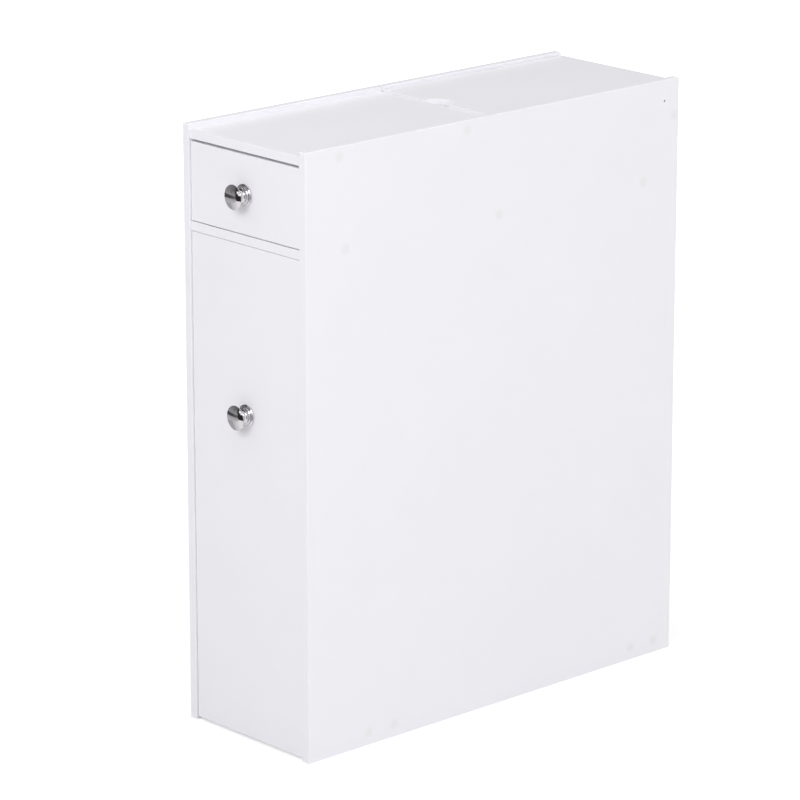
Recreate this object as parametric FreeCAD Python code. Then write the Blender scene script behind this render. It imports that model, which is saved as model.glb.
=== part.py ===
import FreeCAD, Part
import math
import os

# Slim bathroom floor cabinet: carcass, lift-up lid, small drawer and a tall pull-out on wheels.
# Millimetres. +X is right seen from the front, the front faces -Y, +Z is up.
# Depths d are counted backwards from the front edges of the side panels.

# Overall sizes
inch = 25.4
width = 6.75 * inch
depth = 19.0 * inch
height = 23.0 * inch

# Boards and their edges
board = 9.0
hardboard = 3.0
panel_corner = 1.2
panel_round = 0.8
board_round = 0.5

# Clearances
side_gap = 0.35
lid_gap = 0.4
box_gap = 1.5
front_recess = 2.0
floor_gap = 2.5
slide_gap = 0.2
rest_gap = 0.1
groove_gap = 0.2
screw_gap = 0.1
pin_gap = 0.08
held_gap = 0.04
end_gap = 0.5
overcut = 1.0

# Top, lid and shelf
lip = 4.8
seam = 0.9
notch_r = 16.5
shelf_drop = 101.3
lid_back_gap = 0.4
lid_rise = 1.5
lid_round = 0.3
divider_gap = 0.3
pin_r = 2.0
pin_chamfer = 0.4
pin_in_lid = 14.0
pin_in_panel = 5.5
spare_hole_r = 1.1
spare_hole_inset = 20.0
spare_hole_drop = 20.8
groove_depth = 4.0
groove_inset = 4.4

# Fasteners
screw_r = 1.75
screw_head_r = 3.75
screw_head_h = 2.2
screw_tip = 3.0
screw_sink = 0.1
long_screw = 34.0
middle_screw = 28.0
short_screw = 17.0
top_screw_inset = 41.0
shelf_screw_inset = 48.0
back_screw_inset = 6.4
back_screw_drop = 36.2
cover_r = 5.6
cover_t = 0.3
dowel_r = 2.5
dowel_length = 24.0
dowel_in_front = 6.0

# Knob, as radii and heights above the front it stands on
knob_base_r = 10.6
knob_bead = 1.3
knob_ring_r = 8.6
knob_small_bead = 0.95
knob_step = 0.5
knob_neck_r = 4.6
knob_waist_h = 2.8
knob_rim_r = 11.9
knob_rim_h = 13.8
knob_rim_t = 0.8
knob_h = 16.0
knob_screw_r = 2.0
knob_screw_in = 9.0
knob_screw_gap = 0.15
knob_screw_head_r = 4.0
knob_screw_head_h = 2.4

# Bottom rails, runners and wheels
rail_z = 8.6
rail_width = 60.0
rail_screw_spread = 16.2
front_rail_d = 61.0
rear_rail_inset = 9.4
runner_width = 12.0
runner_height = 9.8
wheel_r = 12.0
wheel_width = 8.0
wheel_edge = 0.8
wheel_hub_r = 4.5
wheel_rim_r = 9.2
wheel_dish = 1.0
wheel_d = 36.0
wheel_inset = 28.7
cheek_gap = 0.5
sheet = 1.5
bracket_length = 40.0
bracket_flare = 9.0
bracket_foot_r = 5.5
bracket_screw_spread = 16.0
bracket_screw_head_r = 3.2
bracket_screw_head_h = 1.8
bracket_screw_length = 8.5
axle_r = 2.0
axle_head_r = 3.2
axle_head_h = 1.2
axle_end_r = 2.8
axle_end_h = 0.9

# Drawer and pull-out
drawer_top_gap = 2.4
drawer_low_gap = 0.9
drawer_rear_gap = 3.8
drawer_headroom = 18.4
drawer_panel_rise = 5.0
drawer_back_inset = 2.0
pull_out_top_gap = 0.4
pull_out_rear_gap = 12.6
pull_out_headroom = 14.9
guard_height = 48.0
guard_screw_inset = 70.0
batten_half = 30.0
batten_t = 12.0
batten_z = 10.0
batten_gap = 1.2

# Shares of a length
knob_share = 0.663
shelf_share = 0.47
low_share = 0.36
high_share = 0.8
inset_share = 0.5
joint_share = 0.6

# Carcass positions
knob_reach = knob_h - front_recess
front_y = knob_reach - (depth + knob_reach) / 2
inner = width / 2 - board
front_half = inner - side_gap
box_half = inner - box_gap
top_z = height - lip
top_under = top_z - board
shelf_z = height - shelf_drop
shelf_top = shelf_z + board
front_back = front_recess + board
top_rear = depth / 2 - seam / 2
divider_d = top_rear + divider_gap
back_d = depth - board
groove_d = depth - groove_inset - hardboard - groove_gap
rail_top = rail_z + board
rear_rail_d = depth - rear_rail_inset - rail_width
runner_top = rail_top + runner_height

# Lid positions
lid_front = depth / 2 + seam / 2
lid_half = inner - lid_gap
lid_z = top_under + lid_rise
lid_top = lid_z + board
lid_axis_d = depth - board / 2
lid_axis_z = lid_z + board / 2
back_top = lid_z - lid_back_gap

# Drawer positions
drawer_front_z = shelf_top + drawer_low_gap
drawer_front_top = top_under - drawer_top_gap
drawer_floor = shelf_top + slide_gap
drawer_panel_z = drawer_floor + drawer_panel_rise
drawer_side_top = top_under - drawer_headroom
drawer_rear = divider_d - drawer_rear_gap
drawer_back_d = drawer_rear - drawer_back_inset - board
drawer_in = box_half - board

# Pull-out positions
pull_out_front_top = shelf_z - pull_out_top_gap
base_z = runner_top + slide_gap
base_top = base_z + board
pull_out_rear = depth - pull_out_rear_gap
pull_out_back_d = pull_out_rear - board
pull_out_back_top = shelf_z - pull_out_headroom
middle_z = base_top + shelf_share * (shelf_z - base_top)
middle_top = middle_z + board
batten_d = rear_rail_d - batten_gap - batten_t
wheel_x = inner - wheel_inset

nodes = {}


def at(x, d, z):
    """Point at x, depth d behind the front edges and height z."""
    return FreeCAD.Vector(x, front_y + d, z)


def block(x0, x1, d0, d1, z0, z1):
    """Box between two limits in each direction, given in either order across the width."""
    return Part.makeBox(abs(x1 - x0), d1 - d0, z1 - z0, at(min(x0, x1), d0, z0))


def near(a, b):
    """True where two lengths agree."""
    return abs(a - b) < 1e-4


def soften(shape, radius, chosen):
    """Round the edges whose ends and middle all satisfy chosen(x, d, z)."""
    edges = []
    for edge in shape.Edges:
        points = [vertex.Point for vertex in edge.Vertexes]
        points.append(edge.valueAt((edge.FirstParameter + edge.LastParameter) / 2))
        if all(chosen(p.x, p.y - front_y, p.z) for p in points):
            edges.append(edge)
    return shape.makeFillet(radius, edges)


def rod(radius, length):
    """Cylinder along +Z."""
    return Part.makeCylinder(radius, length)


def turned(points):
    """Solid turned about +Z from a closed outline of (radius, height) points."""
    outline = Part.makePolygon([FreeCAD.Vector(r, 0, h) for r, h in points + points[:1]])
    return Part.Face(outline).revolve(FreeCAD.Vector(0, 0, 0), FreeCAD.Vector(0, 0, 1), 360)


def aim(shape, place, way):
    """Copy of a shape built along +Z, moved to place and turned to point along way."""
    copy = shape.copy()
    turn = FreeCAD.Rotation(FreeCAD.Vector(0, 0, 1), FreeCAD.Vector(*way))
    copy.Placement = FreeCAD.Placement(place, turn)
    return copy


def drill(shape, tools):
    """Shape with all the tools cut out of it."""
    return shape.cut(Part.makeCompound(tools))


def flat_screw(length):
    """Flat-head screw along +Z from its head's face."""
    return turned([(0, 0), (screw_head_r, 0), (screw_r, screw_head_h), (screw_r, length - screw_tip),
                   (0, length)])


def flat_screw_hole(length):
    """Hole for that screw, larger all round by screw_gap and open past its head."""
    head_r = screw_head_r + screw_gap
    shank_r = screw_r + screw_gap
    return turned([(0, -overcut), (head_r, -overcut), (head_r, 0), (shank_r, screw_head_h),
                   (shank_r, length - screw_tip), (0, length + screw_gap)])


def pan_screw(head_r, head_h, shank_r, length):
    """Pan-head screw along +Z from the seat under its head."""
    slope = head_h / 2
    return turned([(0, -head_h), (head_r - slope, -head_h), (head_r, -slope), (head_r, 0), (shank_r, 0),
                   (shank_r, length - shank_r), (shank_r / 2, length), (0, length)])


def screw_set(name, length, places):
    """Adds one node of flat-head screws at (point, direction) places; gives back their holes."""
    nodes[name] = Part.makeCompound([aim(flat_screw(length), point, way) for point, way in places])
    return [aim(flat_screw_hole(length), point, way) for point, way in places]


def dowel_set(name, points):
    """Adds one node of dowels from a front board back into the pieces behind; gives back their holes."""
    start = front_back - dowel_in_front
    dowel = rod(dowel_r, dowel_length)
    hole = rod(dowel_r + screw_gap, dowel_length + 2 * end_gap)
    nodes[name] = Part.makeCompound([aim(dowel, at(x, start, z), (0, 1, 0)) for x, z in points])
    return [aim(hole, at(x, start - end_gap, z), (0, 1, 0)) for x, z in points]


# Screws through the side panels, given as (depth, height) and covered by thin round films
top_mid = top_under + board / 2
shelf_mid = shelf_z + board / 2
rail_mid = rail_z + board / 2
side_points = [(top_screw_inset, top_mid), (top_rear - top_screw_inset, top_mid)]
side_points += [(d, shelf_mid) for d in (shelf_screw_inset, depth / 2, depth - shelf_screw_inset)]
side_points.append((depth - back_screw_inset, height - back_screw_drop))
for rail_d in (front_rail_d, rear_rail_d):
    middle = rail_d + rail_width / 2
    side_points += [(middle - rail_screw_spread, rail_mid), (middle + rail_screw_spread, rail_mid)]
places = []
covers = []
for side in (-1, 1):
    for d, z in side_points:
        places.append((at(side * (width / 2 - screw_sink), d, z), (-side, 0, 0)))
        covers.append(aim(rod(cover_r, cover_t), at(side * width / 2, d, z), (side, 0, 0)))
side_holes = screw_set("side_screws", long_screw, places)
nodes["screw_covers"] = Part.makeCompound(covers)

# Screws up through the shelf into the divider and the board behind the lid
inset_x = inner * inset_share
places = []
for x in (-inset_x, inset_x):
    for d in (divider_d + board / 2, back_d + board / 2):
        places.append((at(x, d, shelf_z + screw_sink), (0, 0, 1)))
shelf_holes = screw_set("shelf_screws", middle_screw, places)

# Screws down through the runners into the bottom rails
runner_mid = inner - runner_width / 2
places = []
for x in (-runner_mid, runner_mid):
    for d in (front_rail_d, rear_rail_d):
        places.append((at(x, d + rail_width / 2, runner_top - screw_sink), (0, 0, -1)))
runner_holes = screw_set("runner_screws", short_screw, places)

# Side panels, with pivot bores for the lid, grooves for the back panel and a small open hole at the rear
for name, side in (("left_side_panel", -1), ("right_side_panel", 1)):
    outside = side * width / 2
    inside = side * inner
    panel = block(outside, inside, 0, depth, 0, height)
    panel = soften(panel, panel_corner, lambda x, d, z: near(z, height) and (near(d, 0) or near(d, depth)))
    for face in (outside, inside):
        panel = soften(panel, panel_round, lambda x, d, z: near(x, face) and not near(z, 0))
    pivot = rod(pin_r + pin_gap, pin_in_panel + end_gap)
    pivot = aim(pivot, at(inside, lid_axis_d, lid_axis_z), (side, 0, 0))
    spare = at(inside - side * overcut, depth - spare_hole_inset, height - spare_hole_drop)
    spare_hole = aim(rod(spare_hole_r, board + 2 * overcut), spare, (side, 0, 0))
    groove_end = groove_d + hardboard + groove_gap
    groove = block(inside, inside + side * groove_depth, groove_d, groove_end, rail_z, shelf_z)
    nodes[name] = drill(panel, side_holes + [pivot, spare_hole, groove])

# Fixed boards between the side panels
top = block(-inner, inner, front_recess, top_rear, top_under, top_z)
top_ends = (front_recess, top_rear)
top = soften(top, board_round, lambda x, d, z: near(z, top_z) and any(near(d, end) for end in top_ends))
nodes["fixed_top"] = drill(top, side_holes)
shelf = block(-inner, inner, front_recess, depth, shelf_z, shelf_top)
shelf_faces = (shelf_z, shelf_top)
shelf = soften(shelf, board_round,
               lambda x, d, z: near(d, front_recess) and any(near(z, face) for face in shelf_faces))
nodes["shelf"] = drill(shelf, side_holes + shelf_holes)
divider = block(-inner, inner, divider_d, divider_d + board, shelf_top, lid_z - rest_gap)
nodes["divider"] = drill(divider, shelf_holes)
back_board = block(-inner, inner, back_d, depth, shelf_top, back_top)
nodes["lid_back_board"] = drill(back_board, side_holes + shelf_holes)
for name, d in (("front_rail", front_rail_d), ("rear_rail", rear_rail_d)):
    rail = block(-inner, inner, d, d + rail_width, rail_z, rail_top)
    nodes[name] = drill(rail, side_holes + runner_holes)
for name, side in (("left_runner", -1), ("right_runner", 1)):
    edge = side * (inner - runner_width)
    strip = block(side * inner, edge, front_rail_d, rear_rail_d + rail_width, rail_top, runner_top)
    nodes[name] = drill(strip, runner_holes)
panel_half = inner + groove_depth - groove_gap
panel_d = groove_d + groove_gap / 2
panel_top = shelf_z - groove_gap
nodes["back_panel"] = block(-panel_half, panel_half, panel_d, panel_d + hardboard, rail_z, panel_top)

# Lid: its lower rear edge is rounded about the pivot, its upper rear corner stays square and becomes the stop
bend = board / 2 * math.sqrt(0.5)
outline_points = [(lid_axis_d, lid_z), (lid_front, lid_z), (lid_front, lid_top), (depth, lid_top),
                  (depth, lid_axis_z)]
corners = [at(-lid_half, d, z) for d, z in outline_points]
bend_middle = at(-lid_half, lid_axis_d + bend, lid_axis_z - bend)
rear_round = Part.Arc(corners[-1], bend_middle, corners[0]).toShape()
outline = Part.Wire([Part.makeLine(a, b) for a, b in zip(corners, corners[1:])] + [rear_round])
lid = Part.Face(outline).extrude(FreeCAD.Vector(2 * lid_half, 0, 0))
lid = soften(lid, lid_round, lambda x, d, z: near(z, lid_top))
tools = [aim(rod(notch_r, board + 2 * overcut), at(0, lid_front, lid_z - overcut), (0, 0, 1))]
pin = rod(pin_r, pin_in_lid + lid_gap + pin_in_panel)
pin = pin.makeChamfer(pin_chamfer, [edge for edge in pin.Edges if near(edge.BoundBox.ZLength, 0)])
pins = []
for side in (-1, 1):
    start = at(side * (lid_half - pin_in_lid), lid_axis_d, lid_axis_z)
    tools.append(aim(rod(pin_r + held_gap, pin_in_lid + overcut), start, (side, 0, 0)))
    pins.append(aim(pin, start, (side, 0, 0)))
nodes["lid"] = drill(lid, tools)
nodes["lid_pins"] = Part.makeCompound(pins)


def knob_shape():
    """Turned knob along +Z from its seat: two beads, a hollow neck, a thin rim and a low domed face."""
    def v(point):
        return FreeCAD.Vector(point[0], 0, point[1])

    def line(a, b):
        return Part.makeLine(v(a), v(b))

    def arc(a, b, c):
        return Part.Arc(v(a), v(b), v(c)).toShape()

    def sweep(waist, far):
        """Quarter-round that leaves the waist upright and ends at far."""
        dr = far[0] - waist[0]
        dh = far[1] - waist[1]
        radius = (dr * dr + dh * dh) / (2 * dr)
        turn = (math.pi + math.atan2(abs(dh), dr - radius)) / 2
        middle_r = waist[0] + radius + radius * math.cos(turn)
        return arc(waist, (middle_r, waist[1] + math.copysign(radius * math.sin(turn), dh)), far)

    foot = knob_base_r - knob_bead
    step_h = 2 * knob_bead
    ring_foot = knob_ring_r - knob_small_bead
    ring_h = step_h + 2 * knob_small_bead
    cove = (ring_foot - knob_step, ring_h)
    waist = (knob_neck_r, ring_h + knob_waist_h)
    rim = (knob_rim_r - knob_rim_t / 4, knob_rim_h)
    face = (knob_rim_r - knob_rim_t / 3, knob_rim_h + knob_rim_t)
    rise = knob_h - face[1]
    ball = (face[0] ** 2 + rise ** 2) / (2 * rise)
    crown = (face[0] / 2, knob_h - ball + math.sqrt(ball ** 2 - face[0] ** 2 / 4))
    edges = [line((0, 0), (foot, 0)), arc((foot, 0), (knob_base_r, knob_bead), (foot, step_h)),
             line((foot, step_h), (ring_foot, step_h)),
             arc((ring_foot, step_h), (knob_ring_r, step_h + knob_small_bead), (ring_foot, ring_h)),
             line((ring_foot, ring_h), cove), sweep(waist, cove), sweep(waist, rim),
             arc(rim, (knob_rim_r, knob_rim_h + knob_rim_t / 2), face), arc(face, crown, (0, knob_h)),
             line((0, knob_h), (0, 0))]
    knob = Part.Face(Part.Wire(edges)).revolve(FreeCAD.Vector(0, 0, 0), FreeCAD.Vector(0, 0, 1), 360)
    return knob.cut(rod(knob_screw_r + held_gap, knob_screw_in + end_gap))


def front_board(name, knob_z, z0, z1, holes):
    """Adds a front set between the side panels, its outer edges rounded, with a knob and the knob's screw."""
    front = block(-front_half, front_half, front_recess, front_back, z0, z1)
    front = soften(front, board_round, lambda x, d, z: near(d, front_recess))
    screw_hole = rod(knob_screw_r + knob_screw_gap, board + 2 * overcut)
    holes = holes + [aim(screw_hole, at(0, front_back + overcut, knob_z), (0, -1, 0))]
    screw = pan_screw(knob_screw_head_r, knob_screw_head_h, knob_screw_r, board + knob_screw_in)
    nodes[name + "_front"] = drill(front, holes)
    nodes[name + "_knob"] = aim(knob_shape(), at(0, front_recess, knob_z), (0, -1, 0))
    nodes[name + "_knob_screw"] = aim(screw, at(0, front_back, knob_z), (0, -1, 0))


# Drawer: dowelled front, screwed back, hardboard bottom in grooves
side_mid = box_half - board / 2
side_rise = drawer_side_top - drawer_floor
fixing_heights = [drawer_floor + share * side_rise for share in (low_share, high_share)]
dowel_holes = dowel_set("drawer_dowels", [(x, z) for x in (-side_mid, side_mid) for z in fixing_heights])
places = []
for side in (-1, 1):
    for z in fixing_heights:
        places.append((at(side * (box_half - screw_sink), drawer_back_d + board / 2, z), (-side, 0, 0)))
screw_holes = screw_set("drawer_screws", middle_screw, places)
groove_half = drawer_in + groove_depth
groove_front = front_back - groove_depth
panel_top = drawer_panel_z + hardboard
groove = block(-groove_half, groove_half, groove_front, drawer_rear + overcut,
               drawer_panel_z - groove_gap / 2, panel_top + groove_gap / 2)
drawer_knob_z = (drawer_front_z + drawer_front_top) / 2
front_board("drawer", drawer_knob_z, drawer_front_z, drawer_front_top, dowel_holes + [groove])
for name, side in (("drawer_left_side", -1), ("drawer_right_side", 1)):
    wall = block(side * box_half, side * drawer_in, front_back, drawer_rear, drawer_floor, drawer_side_top)
    nodes[name] = drill(wall, dowel_holes + screw_holes + [groove])
back_end = drawer_back_d + board
wall = block(-drawer_in, drawer_in, drawer_back_d, back_end, panel_top + groove_gap / 2, drawer_side_top)
nodes["drawer_back"] = drill(wall, screw_holes)
panel_half = groove_half - groove_gap
panel_front = groove_front + groove_gap
nodes["drawer_bottom"] = block(-panel_half, panel_half, panel_front, back_end, drawer_panel_z, panel_top)

# Wheels behind the pull-out's front, each on an axle in a folded bracket
half_wheel = wheel_width / 2
dish = half_wheel - wheel_dish
half_outline = [(axle_r + pin_gap, half_wheel), (wheel_hub_r, half_wheel), (wheel_hub_r + wheel_edge, dish),
                (wheel_rim_r - wheel_edge, dish), (wheel_rim_r, half_wheel),
                (wheel_r - wheel_edge, half_wheel), (wheel_r, half_wheel - wheel_edge)]
wheel = turned(half_outline + [(r, -h) for r, h in reversed(half_outline)])
cheek_in = half_wheel + cheek_gap
cheek_out = cheek_in + sheet
reach = cheek_out + held_gap
axle = turned([(0, -reach - axle_head_h), (axle_head_r, -reach - axle_head_h), (axle_head_r, -reach),
               (axle_r, -reach), (axle_r, reach), (axle_end_r, reach), (axle_end_r, reach + axle_end_h),
               (0, reach + axle_end_h)])
plate_z = base_z - sheet
bracket_screw = pan_screw(bracket_screw_head_r, bracket_screw_head_h, screw_r, bracket_screw_length)
bracket_screws = []
bracket_holes = []
for name, side in (("left", -1), ("right", 1)):
    x = side * wheel_x
    hub = at(x, wheel_d, wheel_r)
    bracket = block(x - cheek_out, x + cheek_out, wheel_d - bracket_length / 2, wheel_d + bracket_length / 2,
                    plate_z, base_z)
    for low in (x - cheek_out, x + cheek_in):
        slope = [(-bracket_flare, plate_z), (bracket_flare, plate_z), (bracket_foot_r, wheel_r),
                 (-bracket_foot_r, wheel_r), (-bracket_flare, plate_z)]
        cheek = Part.Face(Part.makePolygon([at(low, wheel_d + d, z) for d, z in slope]))
        foot = aim(rod(bracket_foot_r, sheet), at(low, wheel_d, wheel_r), (1, 0, 0))
        bracket = bracket.fuse([cheek.extrude(FreeCAD.Vector(sheet, 0, 0)), foot])
    bore = rod(axle_r + held_gap, 2 * cheek_out + 2 * overcut)
    holes = [aim(bore, at(x - cheek_out - overcut, wheel_d, wheel_r), (1, 0, 0))]
    for d in (wheel_d - bracket_screw_spread, wheel_d + bracket_screw_spread):
        seat = at(x, d, plate_z)
        bracket_screws.append(aim(bracket_screw, seat, (0, 0, 1)))
        bracket_holes.append(aim(rod(screw_r + screw_gap, bracket_screw_length + end_gap), seat, (0, 0, 1)))
    nodes[name + "_wheel_bracket"] = drill(bracket.removeSplitter(), holes + bracket_holes)
    nodes[name + "_wheel"] = aim(wheel, hub, (1, 0, 0))
    nodes[name + "_axle"] = aim(axle, hub, (-side, 0, 0))
nodes["bracket_screws"] = Part.makeCompound(bracket_screws)

# Pull-out: front and back joined by a base on the runners and a middle shelf, with a guard along each side
joint_x = wheel_x * joint_share
dowel_points = [(x, z + board / 2) for x in (-joint_x, joint_x) for z in (base_z, middle_z)]
dowel_holes = dowel_set("pull_out_dowels", dowel_points)
places = []
for x in (-joint_x, joint_x):
    places.append((at(x, pull_out_back_d + board / 2, base_z + screw_sink), (0, 0, 1)))
    places.append((at(x, pull_out_rear - screw_sink, middle_z + board / 2), (0, -1, 0)))
back_holes = screw_set("pull_out_screws", middle_screw, places)
batten_x = batten_half * inset_share
places = [(at(x, batten_d + batten_t / 2, base_top - screw_sink), (0, 0, -1)) for x in (-batten_x, batten_x)]
batten_holes = screw_set("batten_screws", short_screw, places)
places = []
for z in (base_z, middle_z):
    for x in (-side_mid, side_mid):
        for d in (front_back + guard_screw_inset, pull_out_back_d - guard_screw_inset):
            places.append((at(x, d, z + screw_sink), (0, 0, 1)))
guard_holes = screw_set("guard_screws", middle_screw, places)
pull_out_knob_z = floor_gap + knob_share * (pull_out_front_top - floor_gap)
front_board("pull_out", pull_out_knob_z, floor_gap, pull_out_front_top, dowel_holes)
base = block(-box_half, box_half, front_back, pull_out_rear, base_z, base_top)
nodes["pull_out_base"] = drill(base, dowel_holes + back_holes + batten_holes + guard_holes + bracket_holes)
wall = block(-box_half, box_half, pull_out_back_d, pull_out_rear, base_top, pull_out_back_top)
nodes["pull_out_back"] = drill(wall, back_holes)
middle = block(-box_half, box_half, front_back, pull_out_back_d, middle_z, middle_top)
nodes["pull_out_shelf"] = drill(middle, dowel_holes + back_holes + guard_holes)
for level, z in (("lower", base_top), ("upper", middle_top)):
    for name, side in (("left", -1), ("right", 1)):
        guard = block(side * box_half, side * drawer_in, front_back, pull_out_back_d, z, z + guard_height)
        nodes[level + "_" + name + "_guard"] = drill(guard, guard_holes)
batten = block(-batten_half, batten_half, batten_d, batten_d + batten_t, batten_z, base_z)
nodes["stop_batten"] = drill(batten, batten_holes)

os.makedirs("parts", exist_ok=True)
for name, shape in nodes.items():
    shape.exportStep("parts/" + name + ".step")
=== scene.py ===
"""Slim bathroom floor cabinet: finishes, knobs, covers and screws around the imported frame, and a studio."""
import math

import bpy
import numpy as np
from bpy.props import FloatProperty, FloatVectorProperty, IntProperty, PointerProperty
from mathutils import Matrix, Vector


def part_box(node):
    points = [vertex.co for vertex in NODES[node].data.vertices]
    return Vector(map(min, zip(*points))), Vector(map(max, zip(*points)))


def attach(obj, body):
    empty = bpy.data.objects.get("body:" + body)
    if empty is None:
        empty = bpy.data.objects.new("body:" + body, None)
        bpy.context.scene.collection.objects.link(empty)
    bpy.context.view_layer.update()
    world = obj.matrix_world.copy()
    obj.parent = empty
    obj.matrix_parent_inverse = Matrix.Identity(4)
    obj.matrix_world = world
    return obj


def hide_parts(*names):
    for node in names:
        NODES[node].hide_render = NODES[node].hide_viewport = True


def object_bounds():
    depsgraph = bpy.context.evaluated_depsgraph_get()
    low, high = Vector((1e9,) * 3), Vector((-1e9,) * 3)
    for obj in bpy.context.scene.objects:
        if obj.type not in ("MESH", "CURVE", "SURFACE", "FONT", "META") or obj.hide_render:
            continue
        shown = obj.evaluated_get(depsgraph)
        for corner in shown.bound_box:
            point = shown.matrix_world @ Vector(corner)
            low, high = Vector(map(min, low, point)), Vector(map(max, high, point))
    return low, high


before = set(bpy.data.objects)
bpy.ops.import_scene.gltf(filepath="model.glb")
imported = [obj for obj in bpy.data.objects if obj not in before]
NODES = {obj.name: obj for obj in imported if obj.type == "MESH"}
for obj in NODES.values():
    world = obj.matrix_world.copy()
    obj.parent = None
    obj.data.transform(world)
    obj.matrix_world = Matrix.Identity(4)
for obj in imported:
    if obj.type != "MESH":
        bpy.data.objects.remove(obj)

bl_info = {
    "name": "Slim bathroom cabinet",
    "version": (1, 0, 0),
    "blender": (4, 5, 0),
    "location": "View3D > Sidebar > Cabinet",
    "description": "Dresses a narrow floor cabinet with a lid, a drawer and a tall pull-out",
    "category": "Add Mesh",
}

CAD_BOX = [list(corner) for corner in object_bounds()]
MM = 0.001

HARDBOARD_NODES = ("back_panel", "drawer_bottom")
SCREW_NODES = ("side_screws", "shelf_screws", "runner_screws", "drawer_screws", "pull_out_screws",
               "batten_screws", "guard_screws", "bracket_screws")
PIN_NODES = ("lid_pins", "left_axle", "right_axle")
BRACKET_NODES = ("left_wheel_bracket", "right_wheel_bracket")
WHEEL_NODES = ("left_wheel", "right_wheel")
DOWEL_NODES = ("drawer_dowels", "pull_out_dowels")
KNOBS = (("drawer_knob", "drawer"), ("pull_out_knob", "pull_out"))
# Each lamp: name, azimuth and elevation in degrees, distance and size in metres.
LAMPS = (
    ("key_lamp", 25, 28, 2.7, 1.0),
    ("side_lamp", 112, 16, 4.0, 2.2),
)
# Each card that only mirrors see, nearer than the one before it: name, azimuths and elevations in degrees,
# brightness at its first and its last corner, and the axis along which that runs where it isn't Z.
CARDS = (
    ("back_wall", (-175, -95), (2, 42), 0.45, 0.45),
    ("floor_far", (-125, -38), (-21, -14.5), 0.64, 0.42),
    ("floor_left", (-125, -56), (-45, -20), 0.54, 0.44),
    ("floor_middle", (-56, -46), (-45, -20), 0.8, 0.68),
    ("floor_right", (-46, -38), (-45, -20), 0.9, 0.85),
    ("grey_wall", (-125, -24), (-10, 10), 0.38, 0.12),
    ("grey_recess", (-68, -24), (-7, 10), 0.3, 0.04, "X"),
    ("dark_skirting", (-125, -24), (-14.5, -10), 0.08, 0.26, "X"),
    ("dark_ceiling", (-95, 30), (11, 62), 0.05, 0.03),
    ("black_stand", (-37, -19), (-17, -6.5), 0.03, 0.03),
    ("black_post", (-37, -31), (-7, 3), 0.04, 0.04),
    ("black_pillar", (-6, 58), (-36, 4), 0.02, 0.02),
    ("white_screen", (-32.5, -27), (-4.8, -1), 1.3, 1.3),
    ("white_window", (-28.5, -18.5), (-7.2, -3.8), 1.3, 1.3),
)
CARD_DISTANCE = 38
CARD_SPACING = 0.4
CARD_COLUMNS = 9
FLOOR_REACH = 40
CAMERA_PLACE = (2.909, -2.7123, 1.456)
SENSOR_WIDTH = 36
ON_AXIS = 1e-9
BOARD_NODES = tuple(name for name in NODES if name not in
                    HARDBOARD_NODES + SCREW_NODES + PIN_NODES + BRACKET_NODES + WHEEL_NODES + DOWEL_NODES
                    and "knob" not in name and name not in ("screw_covers", "lid"))


def linear(code):
    """Linear RGB of an sRGB hex code: c / 12.92 up to 0.04045, above it ((c + 0.055) / 1.055) to the 2.4."""
    channels = np.array([int(code[i:i + 2], 16) for i in (1, 3, 5)]) / 255
    bent = ((channels + 0.055) / 1.055) ** 2.4
    return tuple(np.where(channels <= 0.04045, channels / 12.92, bent).tolist())


def colour(name, description, code):
    """Colour property with its default given as a hex code."""
    return FloatVectorProperty(name=name, description=description, default=linear(code), size=3,
                               subtype="COLOR", min=0, max=1)


def length(name, description, millimetres):
    """Length property with its default given in millimetres."""
    return FloatProperty(name=name, description=description, default=millimetres * MM, unit="LENGTH",
                         subtype="DISTANCE", precision=5)


def share(name, description, value):
    """Property between 0 and 1."""
    return FloatProperty(name=name, description=description, default=value, min=0, max=1, subtype="FACTOR")


class CABINET_PG_boards(bpy.types.PropertyGroup):
    """Finish of the white boards and of the thin hardboard."""
    white: colour("White", "Lighter tone of the melamine face", "#F1F0F5")
    shade: colour("Shade", "Darker tone of its faint clouding", "#EEEDF2")
    # The edge colour of the lid is a painted highlight, whiter than its faces to stand in for light on its edges;
    # the colour of the notch's wall is painted light, whiter still to stand in for light in that shaded hollow,
    # within the notch radius.
    tape: colour("Edge tape", "Tape on the edges of the lid", "#F5F4F9")
    notch_light: colour("Seal", "Lacquer on the cut wall of the lid's notch", "#FCFBFF")
    notch: length("Notch", "Radius round the middle of the lid's front edge within which the lacquer lies", 16.8)
    pearl: length("Pearl", "Size of the dimples of the press plate", 1.4)
    gloss: share("Roughness", "Roughness of the melamine face", 0.3)
    back_white: colour("Hardboard white", "Lacquer on the hardboard", "#EDECEE")
    back_fibre: colour("Hardboard fibre", "Fibres that show through the lacquer", "#DEDBD6")
    mesh: length("Screen mesh", "Spacing of the wire-screen marks in the hardboard", 1.8)


class CABINET_PG_covers(bpy.types.PropertyGroup):
    """Round films over the side panels' screws."""
    film: colour("Film", "Colour of the cover film at its rim", "#EDEDF0")
    # The heart colour is painted shade: the film is darker over the screw's recess to stand in for the shade in
    # that hollow.
    recess_shade: colour("Heart", "Colour of the film over the screw's recess", "#EAEAEC")
    radius: length("Radius", "Radius of a cover", 5.6)
    thickness: length("Thickness", "Height of a cover's middle over the panel", 0.3)
    segments: IntProperty(name="Segments", description="Steps round each cover", default=64, min=12)


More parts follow.
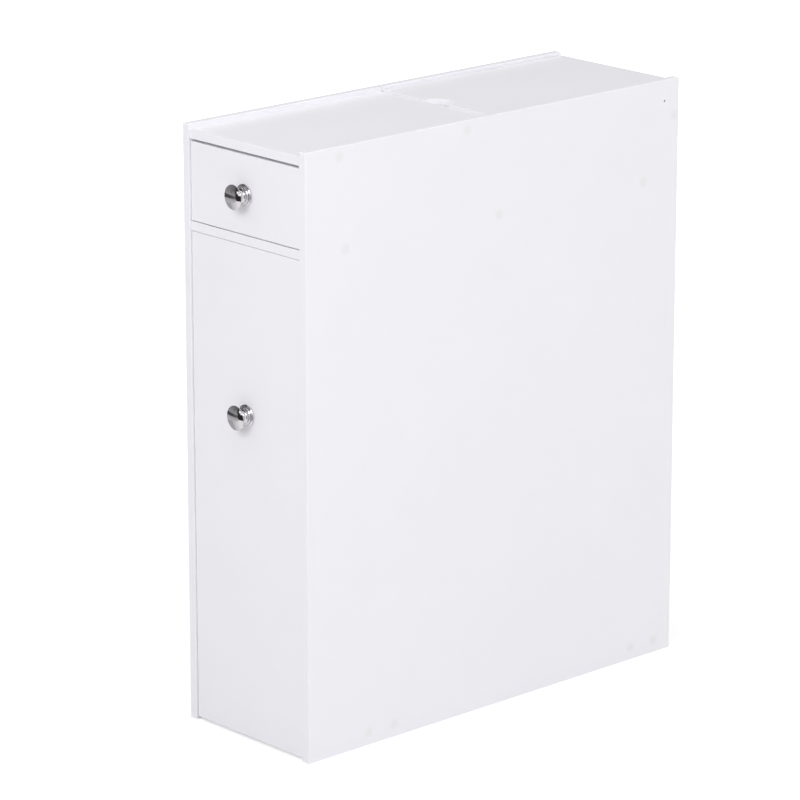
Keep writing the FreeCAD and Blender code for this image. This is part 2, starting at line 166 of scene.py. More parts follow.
class CABINET_PG_knobs(bpy.types.PropertyGroup):
    """Turned knobs and the screws that hold them."""
    chrome: colour("Chrome", "Reflected colour of the plating", "#DCD9DD")
    base_radius: length("Base radius", "Radius over the lower bead", 10.6)
    bead: length("Bead", "Radius of the lower bead's round", 1.3)
    ring_radius: length("Ring radius", "Radius over the upper bead", 8.6)
    small_bead: length("Small bead", "Radius of the upper bead's round", 0.95)
    step: length("Step", "Flat between the upper bead and the neck", 0.5)
    neck_radius: length("Neck radius", "Radius at the waist", 4.6)
    waist: length("Waist", "Height of the waist above the upper bead", 2.8)
    rim_radius: length("Rim radius", "Radius of the face's rim", 11.9)
    rim_height: length("Rim height", "Height of the rim's lower edge", 13.8)
    rim: length("Rim", "Thickness of the rim", 0.8)
    height: length("Height", "Height of the dome over the front board", 16)
    ring_spacing: length("Ring spacing", "Spacing of the lathe marks on the face", 0.55)
    segments: IntProperty(name="Segments", description="Steps round the knob", default=128, min=24)
    head_radius: length("Head radius", "Radius of the screw's pan head", 4)
    head_height: length("Head height", "Height of the pan head", 2.4)
    shank_radius: length("Shank radius", "Radius of the screw's shank", 2)
    slot_width: length("Slot width", "Width of each arm of the cross recess", 0.9)
    slot_reach: length("Slot reach", "Half length of each arm of the cross recess", 2.4)
    slot_depth: length("Slot depth", "Depth of the cross recess", 1.3)


class CABINET_PG_hardware(bpy.types.PropertyGroup):
    """Screws, pins, dowels, brackets and wheels."""
    zinc: colour("Zinc", "Reflected colour of zinc plating", "#BDBFC2")
    zinc_dull: colour("Dull zinc", "Duller crystals of the plating", "#A6A9AD")
    spangle: length("Spangle", "Size of the plating's crystals", 2.4)
    beech: colour("Beech", "Light wood of the dowels", "#D3B58A")
    beech_grain: colour("Beech grain", "Darker grain of the dowels", "#B58E5E")
    grain: length("Grain", "Spacing of the grain", 0.9)
    nylon: colour("Nylon", "Moulded wheel plastic", "#3A3B3D")
    nylon_worn: colour("Worn nylon", "Paler scuffs of the tread", "#4C4D50")
    grit: length("Grit", "Size of the wheel's moulding grain", 0.5)


class CABINET_PG_studio(bpy.types.PropertyGroup):
    """Floor, backdrop, lamps and camera."""
    floor: colour("Floor", "Pale floor", "#D5D5D6")
    lift: share("Lift", "Light added to the floor where it is seen directly", 0.44)
    horizon: FloatProperty(name="Horizon", description="Light from the backdrop at eye level", default=0.42, min=0)
    zenith: FloatProperty(name="Zenith", description="Light from straight above", default=1.055, min=0)
    key_lamp: FloatProperty(name="Key lamp", description="Light of the lamp in front, above", default=0.336, min=0)
    side_lamp: FloatProperty(name="Side lamp", description="Light of the lamp at the right", default=0.193, min=0)
    azimuth: FloatProperty(name="Azimuth", description="Camera's turn from straight in front",
                           default=math.radians(47.43), unit="ROTATION", subtype="ANGLE")
    elevation: FloatProperty(name="Elevation", description="Camera's height angle",
                             default=math.radians(16.35), unit="ROTATION", subtype="ANGLE")
    lens: FloatProperty(name="Lens", description="Focal length on a sensor 36 mm wide", default=193.6, min=1)


def add(tree, kind, inputs=None, **settings):
    """Adds one node; inputs maps a socket's name or number to a value or to another node's socket."""
    node = tree.nodes.new(kind)
    for name, value in settings.items():
        setattr(node, name, value)
    for key, value in (inputs or {}).items():
        if isinstance(value, bpy.types.NodeSocket):
            tree.links.new(value, node.inputs[key])
        else:
            node.inputs[key].default_value = value
    return node


def start(name):
    """New material with an empty node tree."""
    material = bpy.data.materials.new(name)
    material.use_nodes = True
    material.node_tree.nodes.clear()
    return material, material.node_tree


def opaque(rgb):
    """Colour with full alpha."""
    return (*rgb, 1)


def wave_scale(spacing):
    """Scale of a wave texture whose bands lie spacing apart; the texture turns by 20 radians per unit of scale."""
    return 2 * math.pi / (20 * spacing)


def dress(names, material):
    """Puts one material on every slot of the named frame pieces."""
    for name in names:
        slots = NODES[name].material_slots
        if not slots:
            NODES[name].data.materials.append(material)
        for slot in slots:
            slot.material = material


def skin(rows, columns, wrap):
    """Quads of a grid of rows by columns as index arrays; wrap joins the last column to the first."""
    index = np.arange(rows * columns).reshape(rows, columns)
    across = np.concatenate([index, index[:, :1]], axis=1) if wrap else index
    corners = (across[:-1, :-1], across[:-1, 1:], across[1:, 1:], across[1:, :-1])
    return np.stack(corners, axis=-1).reshape(-1, 4)


def lathe(profile, segments):
    """Turned surface: each (radius, height) of the profile becomes the ring (r cos a, r sin a, h) for angles a
    all round; where the profile meets the axis, at its ends, the ring is one point and its faces triangles."""
    angle = np.linspace(0, 2 * np.pi, segments, endpoint=False)
    radius, height = profile.T
    rings = np.stack([np.outer(radius, np.cos(angle)), np.outer(radius, np.sin(angle)),
                      np.outer(height, np.ones(segments))], axis=-1)
    faces = skin(len(profile), segments, True)
    pole = np.repeat(radius < ON_AXIS, segments)
    first = np.where(pole, np.arange(pole.size) // segments * segments, np.arange(pole.size))
    used, compact = np.unique(first, return_inverse=True)
    faces = compact[faces]
    points = rings.reshape(-1, 3)[used]
    bottom = faces[:, 0] == faces[:, 1]
    top = faces[:, 2] == faces[:, 3]
    quads = faces[~(bottom | top)]
    triangles = np.concatenate([faces[bottom][:, [0, 2, 3]], faces[top][:, :3]])
    return points, [quads, triangles]


def arc(centre, radius, first, last, steps):
    """Points of a circle's arc, centre + radius (cos t, sin t), for t from first to last in radians."""
    turn = np.linspace(first, last, steps)
    return np.stack([centre[0] + radius * np.cos(turn), centre[1] + radius * np.sin(turn)], axis=-1)


def make_piece(name, points, faces, material, body, sharp=30):
    """Mesh object at the origin from points and lists of face arrays, smooth except across sharp edges."""
    mesh = bpy.data.meshes.new(name)
    mesh.from_pydata(points.tolist(), [], [face for group in faces for face in group.tolist()])
    mesh.shade_smooth()
    mesh.set_sharp_from_angle(angle=math.radians(sharp))
    mesh.materials.append(material)
    piece = bpy.data.objects.new(name, mesh)
    bpy.context.scene.collection.objects.link(piece)
    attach(piece, body)
    return piece


def face_front(points, place):
    """Turns points built along +Z to stand on a front board: (x, y, z) becomes place + (x, -z, y)."""
    return np.stack([points[:, 0], -points[:, 2], points[:, 1]], axis=-1) + np.array(place)


def melamine(boards, notch=None):
    """White melamine on particle board: resin paper pressed on hot against a finely dimpled plate, which gives
    a clean, slightly cold white with a broad soft sheen and almost no pattern. On a flat board with a half-round
    notch about the upright line through the point notch, a slightly whiter colour on its edges is a painted
    highlight, and a still purer white on the cut wall of the notch is painted light in that shaded hollow."""
    material, tree = start("painted_light_white_melamine" if notch else "white_melamine")
    place = add(tree, "ShaderNodeTexCoord").outputs["Object"]
    cloud_size = 60 * MM
    cloud = add(tree, "ShaderNodeTexNoise", {"Vector": place, "Scale": 1 / cloud_size, "Detail": 3.0})
    tint = add(tree, "ShaderNodeMix", {0: cloud.outputs["Fac"], 6: opaque(boards.shade), 7: opaque(boards.white)},
               data_type="RGBA")
    # Painted light: a whiter colour on the lid's edges stands in for a highlight, and a still whiter one on the
    # wall of its notch stands in for light in that shaded hollow.
    if notch:
        facing = add(tree, "ShaderNodeTexCoord").outputs["Normal"]
        upward = add(tree, "ShaderNodeSeparateXYZ", {0: facing}).outputs["Z"]
        flat = add(tree, "ShaderNodeMath", {0: upward}, operation="ABSOLUTE")
        upright, sloped = 0.05, 0.3  # how far the surface faces up or down
        edge = add(tree, "ShaderNodeMapRange", {"Value": flat.outputs[0], "From Min": upright, "From Max": sloped,
                                                "To Min": 1.0, "To Max": 0.0})
        highlighted = add(tree, "ShaderNodeMix", {0: edge.outputs[0], 6: tint.outputs[2], 7: opaque(boards.tape)},
                    data_type="RGBA")
        level = add(tree, "ShaderNodeVectorMath", {0: place, 1: (1, 1, 0)}, operation="MULTIPLY")
        away = add(tree, "ShaderNodeVectorMath", {0: level.outputs[0], 1: notch}, operation="DISTANCE")
        inside = add(tree, "ShaderNodeMath", {0: away.outputs["Value"], 1: boards.notch}, operation="LESS_THAN")
        tint = add(tree, "ShaderNodeMix", {0: inside.outputs[0], 6: highlighted.outputs[2], 7: opaque(boards.notch_light)},
                   data_type="RGBA")
    pearl = add(tree, "ShaderNodeTexNoise", {"Vector": place, "Scale": 1 / boards.pearl, "Detail": 1.0})
    spread = 0.02
    rough = add(tree, "ShaderNodeMapRange", {"Value": cloud.outputs["Fac"], "To Min": boards.gloss - spread,
                                             "To Max": boards.gloss + spread})
    bump = add(tree, "ShaderNodeBump", {"Height": pearl.outputs["Fac"], "Strength": 0.12, "Distance": 0.06 * MM})
    shader = add(tree, "ShaderNodeBsdfPrincipled", {"Base Color": tint.outputs[2], "IOR": 1.5,
                                                    "Roughness": rough.outputs[0], "Normal": bump.outputs[0]})
    add(tree, "ShaderNodeOutputMaterial", {"Surface": shader.outputs[0]})
    return material


def hardboard(boards):
    """Lacquered hardboard: wet-pressed wood fibre on a wire screen, then sprayed white. Long fibres show faintly
    through the lacquer, and the screen leaves a fine square mesh."""
    material, tree = start("white_hardboard")
    place = add(tree, "ShaderNodeTexCoord").outputs["Object"]
    fibre_size = 5 * MM
    upright_fibres = (1, 1, 0.25)
    stretched = add(tree, "ShaderNodeMapping", {"Vector": place, "Scale": upright_fibres})
    fibre = add(tree, "ShaderNodeTexNoise", {"Vector": stretched.outputs[0], "Scale": 1 / fibre_size,
                                             "Detail": 6.0, "Roughness": 0.65})
    amount = add(tree, "ShaderNodeMapRange", {"Value": fibre.outputs["Fac"], "From Min": 0.55, "From Max": 0.8})
    tint = add(tree, "ShaderNodeMix", {0: amount.outputs[0], 6: opaque(boards.back_white),
                                       7: opaque(boards.back_fibre)}, data_type="RGBA")
    wires = {"Vector": place, "Scale": wave_scale(boards.mesh)}
    warp = add(tree, "ShaderNodeTexWave", wires, bands_direction="X")
    weft = add(tree, "ShaderNodeTexWave", wires, bands_direction="Z")
    screen = add(tree, "ShaderNodeMath", {0: warp.outputs["Fac"], 1: weft.outputs["Fac"]}, operation="MULTIPLY")
    bump = add(tree, "ShaderNodeBump", {"Height": screen.outputs[0], "Strength": 0.25, "Distance": 0.1 * MM})
    shader = add(tree, "ShaderNodeBsdfPrincipled", {"Base Color": tint.outputs[2], "IOR": 1.48, "Roughness": 0.55,
                                                    "Normal": bump.outputs[0]})
    add(tree, "ShaderNodeOutputMaterial", {"Surface": shader.outputs[0]})
    return material


def cover_film(covers):
    """Calendered PVC film: matt, a shade warmer than the panel, with a fine sandy grain. Towards its middle, over
    the recess of the screw, its colour darkens softly as painted shade of that hollow; UV holds the length along
    the profile."""
    material, tree = start("pvc_cover_film")
    along = add(tree, "ShaderNodeTexCoord").outputs["UV"]
    run = add(tree, "ShaderNodeSeparateXYZ", {0: along}).outputs["Y"]
    edge_of_recess, middle_of_recess = 1.05 * covers.radius, 1.5 * covers.radius
    depth = add(tree, "ShaderNodeMapRange", {"Value": run, "From Min": edge_of_recess,
                                             "From Max": middle_of_recess}, interpolation_type="SMOOTHSTEP")
    place = add(tree, "ShaderNodeTexCoord").outputs["Object"]
    grain_size = 0.6 * MM
    grain = add(tree, "ShaderNodeTexNoise", {"Vector": place, "Scale": 1 / grain_size, "Detail": 2.0})
    # Painted shade: the film darkens towards its middle, over the screw's recess.
    tint = add(tree, "ShaderNodeMix", {0: depth.outputs[0], 6: opaque(covers.film), 7: opaque(covers.recess_shade)},
               data_type="RGBA")
    bump = add(tree, "ShaderNodeBump", {"Height": grain.outputs["Fac"], "Strength": 0.2, "Distance": 0.03 * MM})
    shader = add(tree, "ShaderNodeBsdfPrincipled", {"Base Color": tint.outputs[2], "IOR": 1.53, "Roughness": 0.5,
                                                    "Normal": bump.outputs[0]})
    add(tree, "ShaderNodeOutputMaterial", {"Surface": shader.outputs[0]})
    return material


def chrome(knobs):
    """Chrome plating on a turned zinc knob: a bright, faintly cold mirror. UV holds the angle and the length along
    the profile in metres, so the lathe marks run round the knob; they are drawn coarser than real ones to show."""
    material, tree = start("polished_chrome")
    along = add(tree, "ShaderNodeTexCoord").outputs["UV"]
    marks = add(tree, "ShaderNodeTexWave", {"Vector": along, "Scale": wave_scale(knobs.ring_spacing),
                                            "Distortion": 0.4, "Detail": 2.0}, bands_direction="Y")
    place = add(tree, "ShaderNodeTexCoord").outputs["Object"]
    haze_size = 4 * MM
    haze = add(tree, "ShaderNodeTexNoise", {"Vector": place, "Scale": 1 / haze_size, "Detail": 4.0})
    rough = add(tree, "ShaderNodeMapRange", {"Value": haze.outputs["Fac"], "To Min": 0.03, "To Max": 0.07})
    bump = add(tree, "ShaderNodeBump", {"Height": marks.outputs["Fac"], "Strength": 0.08, "Distance": 0.02 * MM})
    shader = add(tree, "ShaderNodeBsdfPrincipled", {"Base Color": opaque(knobs.chrome), "Metallic": 1.0,
                                                    "Roughness": rough.outputs[0], "Normal": bump.outputs[0]})
    add(tree, "ShaderNodeOutputMaterial", {"Surface": shader.outputs[0]})
    return material


def zinc(hardware):
    """Zinc-plated steel: electroplated, so a grey satin metal with small crystals of two tones."""
    material, tree = start("zinc_plated_steel")
    place = add(tree, "ShaderNodeTexCoord").outputs["Object"]
    crystals = add(tree, "ShaderNodeTexVoronoi", {"Vector": place, "Scale": 1 / hardware.spangle})
    tint = add(tree, "ShaderNodeMix", {0: crystals.outputs["Color"], 6: opaque(hardware.zinc_dull),
                                       7: opaque(hardware.zinc)}, data_type="RGBA")
    rough = add(tree, "ShaderNodeMapRange", {"Value": crystals.outputs["Color"], "To Min": 0.28, "To Max": 0.42})
    shader = add(tree, "ShaderNodeBsdfPrincipled", {"Base Color": tint.outputs[2], "Metallic": 1.0,
                                                    "Roughness": rough.outputs[0]})
    add(tree, "ShaderNodeOutputMaterial", {"Surface": shader.outputs[0]})
    return material


def beech(hardware):
    """Turned beech: pale brown wood with fine straight grain along the dowel."""
    material, tree = start("turned_beech")
    place = add(tree, "ShaderNodeTexCoord").outputs["Object"]
    along_dowel = (1, 0.06, 1)
    along = add(tree, "ShaderNodeMapping", {"Vector": place, "Scale": along_dowel})
    grain = add(tree, "ShaderNodeTexNoise", {"Vector": along.outputs[0], "Scale": 1 / hardware.grain,
                                             "Detail": 5.0})
    tint = add(tree, "ShaderNodeMix", {0: grain.outputs["Fac"], 6: opaque(hardware.beech_grain),
                                       7: opaque(hardware.beech)}, data_type="RGBA")
    bump = add(tree, "ShaderNodeBump", {"Height": grain.outputs["Fac"], "Strength": 0.3, "Distance": 0.05 * MM})
    shader = add(tree, "ShaderNodeBsdfPrincipled", {"Base Color": tint.outputs[2], "Roughness": 0.6,
                                                    "Normal": bump.outputs[0]})
    add(tree, "ShaderNodeOutputMaterial", {"Surface": shader.outputs[0]})
    return material


def nylon(hardware):
    """Moulded nylon: dark, half-matt, with a fine moulding grain and paler scuffs."""
    material, tree = start("moulded_nylon")
    place = add(tree, "ShaderNodeTexCoord").outputs["Object"]
    scuff_size = 6 * MM
    scuff = add(tree, "ShaderNodeTexNoise", {"Vector": place, "Scale": 1 / scuff_size, "Detail": 5.0})
    tint = add(tree, "ShaderNodeMix", {0: scuff.outputs["Fac"], 6: opaque(hardware.nylon),
                                       7: opaque(hardware.nylon_worn)}, data_type="RGBA")
    grain = add(tree, "ShaderNodeTexNoise", {"Vector": place, "Scale": 1 / hardware.grit, "Detail": 2.0})
    bump = add(tree, "ShaderNodeBump", {"Height": grain.outputs["Fac"], "Strength": 0.2, "Distance": 0.04 * MM})
    shader = add(tree, "ShaderNodeBsdfPrincipled", {"Base Color": tint.outputs[2], "IOR": 1.53, "Roughness": 0.48,
                                                    "Normal": bump.outputs[0]})
    add(tree, "ShaderNodeOutputMaterial", {"Surface": shader.outputs[0]})
    return material


def knob_profile(knobs):
    """Half section of the knob from its seat's centre to its face's centre: a flat seat, two half-round beads, a
    neck made of two arcs that leave the waist upright, a thin half-round rim and a shallow dome.
    An arc from the waist to a point dr out and dh up has the radius (dr squared + dh squared) / (2 dr)."""
    few, some, many = 9, 17, 25  # points along an arc
    foot = knobs.base_radius - knobs.bead
    step_height = 2 * knobs.bead
    ring_foot = knobs.ring_radius - knobs.small_bead
    ring_height = step_height + 2 * knobs.small_bead
    waist = (knobs.neck_radius, ring_height + knobs.waist)
    cove = (ring_foot - knobs.step, ring_height)
    rim = (knobs.rim_radius - knobs.rim / 4, knobs.rim_height)
    edge = (knobs.rim_radius - knobs.rim / 3, knobs.rim_height + knobs.rim)

    def sweep(end, steps):
        dr = end[0] - waist[0]
        dh = end[1] - waist[1]
        radius = (dr * dr + dh * dh) / (2 * dr)
        return arc((waist[0] + radius, waist[1]), radius, math.pi,
                   math.atan2(dh, dr - radius) % (2 * math.pi), steps)

    rise = knobs.height - edge[1]
    ball = (edge[0] ** 2 + rise ** 2) / (2 * rise)
    half_turn = math.pi / 2
    rim_middle = ((rim[0] + edge[0]) / 2, (rim[1] + edge[1]) / 2)
    rim_turn = np.linspace(-half_turn, half_turn, few)
    bulge = knobs.rim_radius - rim_middle[0]
    rim_points = np.stack([rim_middle[0] + bulge * np.cos(rim_turn),
                           rim_middle[1] + knobs.rim / 2 * np.sin(rim_turn)], axis=-1)
    sections = [np.array([[0, 0], [foot, 0]]),
                arc((foot, knobs.bead), knobs.bead, -half_turn, half_turn, some)[1:],
                arc((ring_foot, step_height + knobs.small_bead), knobs.small_bead, -half_turn, half_turn, some),
                np.array([cove]), sweep(cove, some)[::-1][1:], sweep(rim, many)[1:-1], rim_points,
                arc((0, knobs.height - ball), ball, math.acos(edge[0] / ball), half_turn, many)[1:-1],
                np.array([[0, knobs.height]])]
    return np.concatenate(sections)


def cover_profile(covers):
    """Half section of a cover: flat underneath, and above it the height t (1 - (r / R) squared) squared, which
    thins out to nothing at the rim."""
    rings = 13
    radius = np.linspace(covers.radius, 0, rings)
    height = covers.thickness * (1 - (radius / covers.radius) ** 2) ** 2
    return np.concatenate([[[0, 0]], np.stack([radius, height], axis=-1)])


def disc_places(name, radius):
    """Middles of a node's discs on the side panels, and the side each lies on: points within just over a disc's
    width of one another in (y, z) are one disc, whose middle is that of their box."""
    mesh = NODES[name].data
    points = np.empty(3 * len(mesh.vertices), dtype=np.float32)
    mesh.vertices.foreach_get("co", points)
    points = points.reshape(-1, 3).astype(float)
    width = 2.1 * radius
    places = []
    while len(points):
        apart = np.linalg.norm(points[:, 1:] - points[0, 1:], axis=1)
        same = (apart < width) & (points[:, 0] * points[0, 0] > 0)
        low = points[same].min(axis=0)
        high = points[same].max(axis=0)
        seat = low[0] if low[0] > 0 else high[0]
        places.append((seat, (low[1] + high[1]) / 2, (low[2] + high[2]) / 2))
        points = points[~same]
    places = np.array(places)
    return places, np.sign(places[:, 0])


def screw_points(knobs, reach):
    """Pan-head screw along +Z from the seat under its head, its shank reach long: a turned outline whose head
    is sunk by depth times the larger of two crossed bars, each bar(a) bar(b) with soft sides."""
    rings, soft, flush = 25, 0.05 * MM, 0.001 * MM
    across = knobs.head_radius * np.linspace(0, 1, rings)[1:]
    slope = knobs.head_height / 2
    drop = np.where(across > knobs.head_radius - slope, across - knobs.head_radius + slope, 0)
    profile = np.concatenate([[[0, -knobs.head_height]], np.stack([across, drop - knobs.head_height], axis=-1),
                              [[knobs.head_radius, 0], [knobs.shank_radius, 0],
                               [knobs.shank_radius, reach - knobs.shank_radius], [knobs.shank_radius / 2, reach],
                               [0, reach]]])
    points, faces = lathe(profile, knobs.segments)

    def bar(offset, half):
        return 1 / (1 + np.exp((np.abs(offset) - half) / soft))

    width, arm = knobs.slot_width / 2, knobs.slot_reach
    x, y = points[:, 0], points[:, 1]
    cross = np.maximum(bar(x, width) * bar(y, arm), bar(y, width) * bar(x, arm))
    on_head = points[:, 2] < flush - knobs.head_height
    points[:, 2] += np.where(on_head, knobs.slot_depth * cross, 0)
    return points, faces


def ring_map(mesh, points, profile, segments):
    """UV map of a turned piece or of copies of it: u is the angle round the axis, v the length along the profile
    in metres."""
    run = np.concatenate([[0], np.cumsum(np.linalg.norm(np.diff(profile, axis=0), axis=1))])
    on_axis = profile[:, 0] < ON_AXIS
    lengths = np.concatenate([run[i:i + 1] if on_axis[i] else np.full(segments, run[i])
                              for i in range(len(profile))])
    angles = np.arctan2(points[:, 1], points[:, 0]) / (2 * np.pi)
    corner = np.empty(len(mesh.loops), dtype=np.int32)
    mesh.loops.foreach_get("vertex_index", corner)
    places = np.stack([angles, lengths], axis=-1)[corner % len(points)]
    mesh.uv_layers.new(name="turned").data.foreach_set("uv", places.astype(np.float32).ravel())


def seat_of(name):
    """Middle of a knob node's seat on its front board, in metres."""
    low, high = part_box(name)
    return ((low.x + high.x) / 2, high.y, (low.z + high.z) / 2)


class CABINET_OT_boards(bpy.types.Operator):
    """Gives the boards of carcass, lid, drawer and pull-out their white melamine"""
    bl_idname = "cabinet.boards"
    bl_label = "White boards"

    def execute(self, context):
        boards = context.scene.cabinet_boards
        dress(BOARD_NODES, melamine(boards))
        low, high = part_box("lid")
        # The lid's melamine carries a painted highlight on its edges and painted light in its notch.
        dress(("lid",), melamine(boards, ((low.x + high.x) / 2, low.y, 0)))
        return {"FINISHED"}


class CABINET_OT_hardboard(bpy.types.Operator):
    """Gives the back panel and the drawer's bottom their lacquered hardboard"""
    bl_idname = "cabinet.hardboard"
    bl_label = "Hardboard panels"

    def execute(self, context):
        dress(HARDBOARD_NODES, hardboard(context.scene.cabinet_boards))
        return {"FINISHED"}


class CABINET_OT_covers(bpy.types.Operator):
    """Makes the round cover films over the side panels' screws, thinning out to their rims"""
    bl_idname = "cabinet.covers"
    bl_label = "Screw covers"

    def execute(self, context):
        covers = context.scene.cabinet_covers
        profile = cover_profile(covers)
        points, faces = lathe(profile, covers.segments)
        places, sides = disc_places("screw_covers", covers.radius)
        turned = np.stack([np.multiply.outer(sides, points[:, 2]), np.multiply.outer(sides, points[:, 0]),
                           np.multiply.outer(np.ones(len(sides)), points[:, 1])], axis=-1)
        every = (turned + places[:, None, :]).reshape(-1, 3)
        offsets = np.arange(len(places)) * len(points)
        groups = [(offsets[:, None, None] + group[None]).reshape(-1, group.shape[1]) for group in faces]
        piece = make_piece("screw_covers_domed", every, groups, cover_film(covers), "carcass")
        ring_map(piece.data, points, profile, covers.segments)
        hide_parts("screw_covers")
        return {"FINISHED"}


class CABINET_OT_knobs(bpy.types.Operator):
    """Makes both chrome knobs as turned surfaces"""
    bl_idname = "cabinet.knobs"
    bl_label = "Knobs"

    def execute(self, context):
        knobs = context.scene.cabinet_knobs
        material = chrome(knobs)
        profile = knob_profile(knobs)
        points, faces = lathe(profile, knobs.segments)
        for node, body in KNOBS:
            turned = face_front(points, seat_of(node))
            piece = make_piece(node + "_turned", turned, faces, material, body, sharp=50)
            ring_map(piece.data, points, profile, knobs.segments)
            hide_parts(node)
        return {"FINISHED"}


class CABINET_OT_knob_screws(bpy.types.Operator):
    """Makes the pan-head screws that hold the knobs, with cross recesses"""
    bl_idname = "cabinet.knob_screws"
    bl_label = "Knob screws"

    def execute(self, context):
        knobs = context.scene.cabinet_knobs
        material = zinc(context.scene.cabinet_hardware)
        for knob, body in KNOBS:
            node = knob + "_screw"
            low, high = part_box(node)
            seat = ((low.x + high.x) / 2, high.y - knobs.head_height, (low.z + high.z) / 2)
            points, faces = screw_points(knobs, seat[1] - low.y)
            piece = make_piece(node + "_crossed", face_front(points, seat), faces, material, body)
            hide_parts(node)
        return {"FINISHED"}


class CABINET_OT_hardware(bpy.types.Operator):
    """Gives screws, pins, dowels, brackets and wheels their finishes"""
    bl_idname = "cabinet.hardware"
    bl_label = "Fasteners and wheels"

    def execute(self, context):
        hardware = context.scene.cabinet_hardware
        dress(SCREW_NODES + PIN_NODES + BRACKET_NODES, zinc(hardware))
        dress(DOWEL_NODES, beech(hardware))
        dress(WHEEL_NODES, nylon(hardware))
        return {"FINISHED"}


def plane(name, corners, material):
    """Flat stage piece with four corners."""
    mesh = bpy.data.meshes.new(name)
    mesh.from_pydata([tuple(corner) for corner in corners], [], [(0, 1, 2, 3)])
    mesh.materials.append(material)
    piece = bpy.data.objects.new(name, mesh)
    bpy.context.scene.collection.objects.link(piece)
    return piece


def seen_directly(tree):
    """Socket that is 1 for camera, glossy and transmission rays and 0 for the rest."""
    path = add(tree, "ShaderNodeLightPath")
    sharp = add(tree, "ShaderNodeMath", {0: path.outputs["Is Camera Ray"], 1: path.outputs["Is Glossy Ray"]},
                operation="MAXIMUM")
    either = add(tree, "ShaderNodeMath", {0: sharp.outputs[0], 1: path.outputs["Is Transmission Ray"]},
                 operation="MAXIMUM")
    return either.outputs[0]


def floor_material(studio):
    """Pale studio floor: matt paper that scatters light, lifted to white where it is seen directly, so that only
    the object's shadow stays darker."""
    material, tree = start("studio_paper")
    scatter = add(tree, "ShaderNodeBsdfDiffuse", {"Color": opaque(studio.floor)})
    place = add(tree, "ShaderNodeTexCoord").outputs["Object"]
    away = add(tree, "ShaderNodeVectorMath", {0: place}, operation="LENGTH").outputs["Value"]
    near, far, white = 0.5, 1.6, 1.1  # metres from the object, and the light added from far on
    level = add(tree, "ShaderNodeMapRange", {"Value": away, "From Min": near, "From Max": far,
                                             "To Min": studio.lift, "To Max": white},
                interpolation_type="SMOOTHSTEP")
    lift = add(tree, "ShaderNodeMath", {0: seen_directly(tree), 1: level.outputs[0]}, operation="MULTIPLY")
    glow = add(tree, "ShaderNodeEmission", {"Strength": lift.outputs[0]})
    both = add(tree, "ShaderNodeAddShader", {0: scatter.outputs[0], 1: glow.outputs[0]})
    add(tree, "ShaderNodeOutputMaterial", {"Surface": both.outputs[0]})
    return material


def card_material(name, low, high, axis, first, last):
    """Glowing card whose light runs from low to high between two places along one axis, painted light that stands
    in for the lit room, for the chrome to mirror."""
    material, tree = start(name)
    place = add(tree, "ShaderNodeTexCoord").outputs["Object"]
    run = add(tree, "ShaderNodeSeparateXYZ", {0: place}).outputs[axis]
    level = add(tree, "ShaderNodeMapRange", {"Value": run, "From Min": first, "From Max": last, "To Min": low,
                                             "To Max": high})
    glow = add(tree, "ShaderNodeEmission", {"Strength": level.outputs[0]})
    add(tree, "ShaderNodeOutputMaterial", {"Surface": glow.outputs[0]})
    return material


def middle():
    """Point on the object's axis at half its height."""
    return Vector((0, 0, CAD_BOX[1][2] / 2))


def heading(azimuth, elevation):
    """Unit vector from the object towards an azimuth, counted from the front to the right, and an elevation."""
    return Vector((math.sin(azimuth) * math.cos(elevation), -math.cos(azimuth) * math.cos(elevation),
                   math.sin(elevation)))


def card(distance, name, azimuths, elevations, low, high, axis="Z"):
    """Card that only mirrors see, between two azimuths and two elevations in degrees as seen from the object."""
    turns = np.radians(np.linspace(*azimuths, CARD_COLUMNS))
    rises = np.radians(np.array(elevations))
    corners = [middle() + heading(turn, rise) * distance for rise in rises for turn in turns]
    mesh = bpy.data.meshes.new(name)
    mesh.from_pydata(corners, [], skin(len(rises), len(turns), False).tolist())
    ends = [getattr(corner, axis.lower()) for corner in (corners[0], corners[-1])]
    mesh.materials.append(card_material(name, low, high, axis, *ends))
    piece = bpy.data.objects.new(name, mesh)
    bpy.context.scene.collection.objects.link(piece)
    piece.visible_camera = False
    piece.visible_diffuse = False
    piece.visible_transmission = False
    piece.visible_shadow = False


def aim_at(thing, place, target):
    """Puts a lamp or camera at place, looking at target with its top up."""
    thing.location = place
    thing.rotation_euler = (Vector(target) - Vector(place)).to_track_quat("-Z", "Y").to_euler()


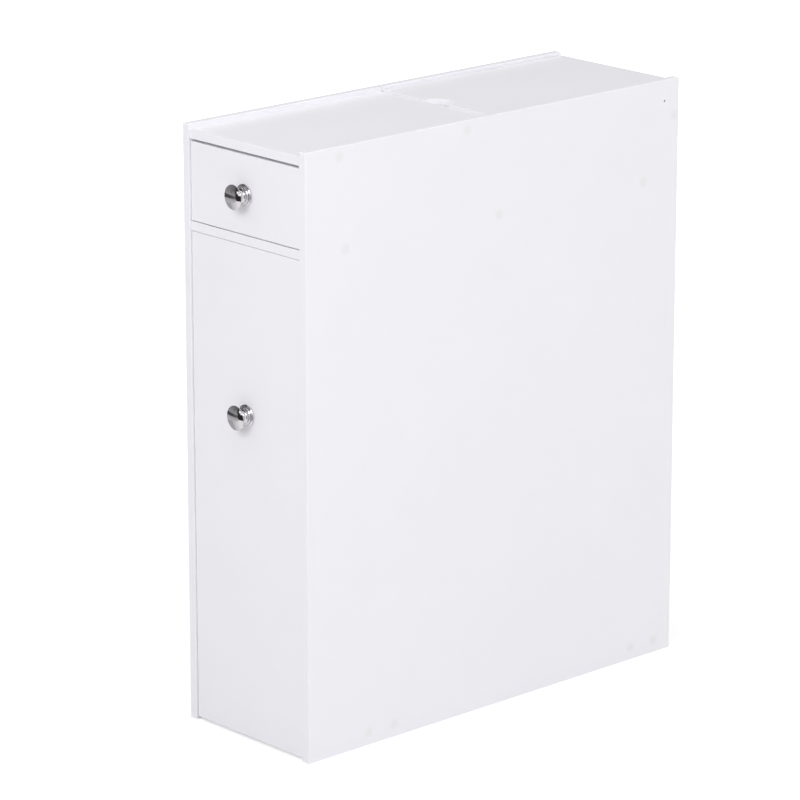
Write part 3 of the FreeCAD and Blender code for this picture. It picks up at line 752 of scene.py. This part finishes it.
class CABINET_OT_stage(bpy.types.Operator):
    """Sets up the floor, the backdrop, the lamps and the camera"""
    bl_idname = "cabinet.stage"
    bl_label = "Studio"

    def execute(self, context):
        scene = context.scene
        studio = scene.cabinet_studio
        scene.view_settings.view_transform = "Standard"
        floor = [(across * FLOOR_REACH, along * FLOOR_REACH, 0)
                 for across, along in ((-1, -1), (1, -1), (1, 1), (-1, 1))]
        plane("studio_floor", floor, floor_material(studio)).visible_glossy = False

        world = bpy.data.worlds.new("studio_backdrop")
        scene.world = world
        world.use_nodes = True
        tree = world.node_tree
        tree.nodes.clear()
        way = add(tree, "ShaderNodeTexCoord").outputs["Generated"]
        height = add(tree, "ShaderNodeSeparateXYZ", {0: way}).outputs["Z"]
        level = add(tree, "ShaderNodeMapRange", {"Value": height, "To Min": studio.horizon,
                                                 "To Max": studio.zenith})
        strength = add(tree, "ShaderNodeMix", {0: seen_directly(tree), 2: level.outputs[0], 3: 1.0})
        back = add(tree, "ShaderNodeBackground", {"Color": (1, 1, 1, 1), "Strength": strength.outputs[0]})
        add(tree, "ShaderNodeOutputWorld", {"Surface": back.outputs[0]})

        for name, azimuth, elevation, distance, size in LAMPS:
            lamp = bpy.data.lights.new(name, "AREA")
            lamp.size = size
            lamp.energy = getattr(studio, name) * math.pi ** 2 * distance ** 2
            piece = bpy.data.objects.new(name, lamp)
            scene.collection.objects.link(piece)
            place = middle() + heading(math.radians(azimuth), math.radians(elevation)) * distance
            aim_at(piece, place, middle())
        for order, settings in enumerate(CARDS):
            card(CARD_DISTANCE - CARD_SPACING * order, *settings)

        camera = bpy.data.cameras.new("photo_camera")
        camera.sensor_width = SENSOR_WIDTH
        camera.lens = studio.lens
        piece = bpy.data.objects.new("photo_camera", camera)
        scene.collection.objects.link(piece)
        place = Vector(CAMERA_PLACE)
        aim_at(piece, place, place - heading(studio.azimuth, studio.elevation))
        scene.camera = piece
        return {"FINISHED"}


OPERATORS = (CABINET_OT_boards, CABINET_OT_hardboard, CABINET_OT_covers, CABINET_OT_knobs, CABINET_OT_knob_screws,
             CABINET_OT_hardware, CABINET_OT_stage)
GROUPS = (("cabinet_boards", CABINET_PG_boards), ("cabinet_covers", CABINET_PG_covers),
          ("cabinet_knobs", CABINET_PG_knobs), ("cabinet_hardware", CABINET_PG_hardware),
          ("cabinet_studio", CABINET_PG_studio))


class CABINET_PT_panel(bpy.types.Panel):
    """Lists the cabinet's operators and their settings"""
    bl_idname = "CABINET_PT_panel"
    bl_label = "Slim bathroom cabinet"
    bl_space_type = "VIEW_3D"
    bl_region_type = "UI"
    bl_category = "Cabinet"

    def draw(self, context):
        for operator in OPERATORS:
            self.layout.operator(operator.bl_idname)
        for attribute, group in GROUPS:
            box = self.layout.box()
            settings = getattr(context.scene, attribute)
            for name in group.__annotations__:
                box.prop(settings, name)


def register():
    for attribute, group in GROUPS:
        bpy.utils.register_class(group)
        setattr(bpy.types.Scene, attribute, PointerProperty(type=group))
    for operator in OPERATORS:
        bpy.utils.register_class(operator)
    bpy.utils.register_class(CABINET_PT_panel)


def unregister():
    bpy.utils.unregister_class(CABINET_PT_panel)
    for operator in reversed(OPERATORS):
        bpy.utils.unregister_class(operator)
    for attribute, group in reversed(GROUPS):
        delattr(bpy.types.Scene, attribute)
        bpy.utils.unregister_class(group)


def main():
    register()
    bpy.ops.cabinet.boards()
    bpy.ops.cabinet.hardboard()
    bpy.ops.cabinet.covers()
    bpy.ops.cabinet.knobs()
    bpy.ops.cabinet.knob_screws()
    bpy.ops.cabinet.hardware()
    bpy.ops.cabinet.stage()


if __name__ == "__main__":
    main()
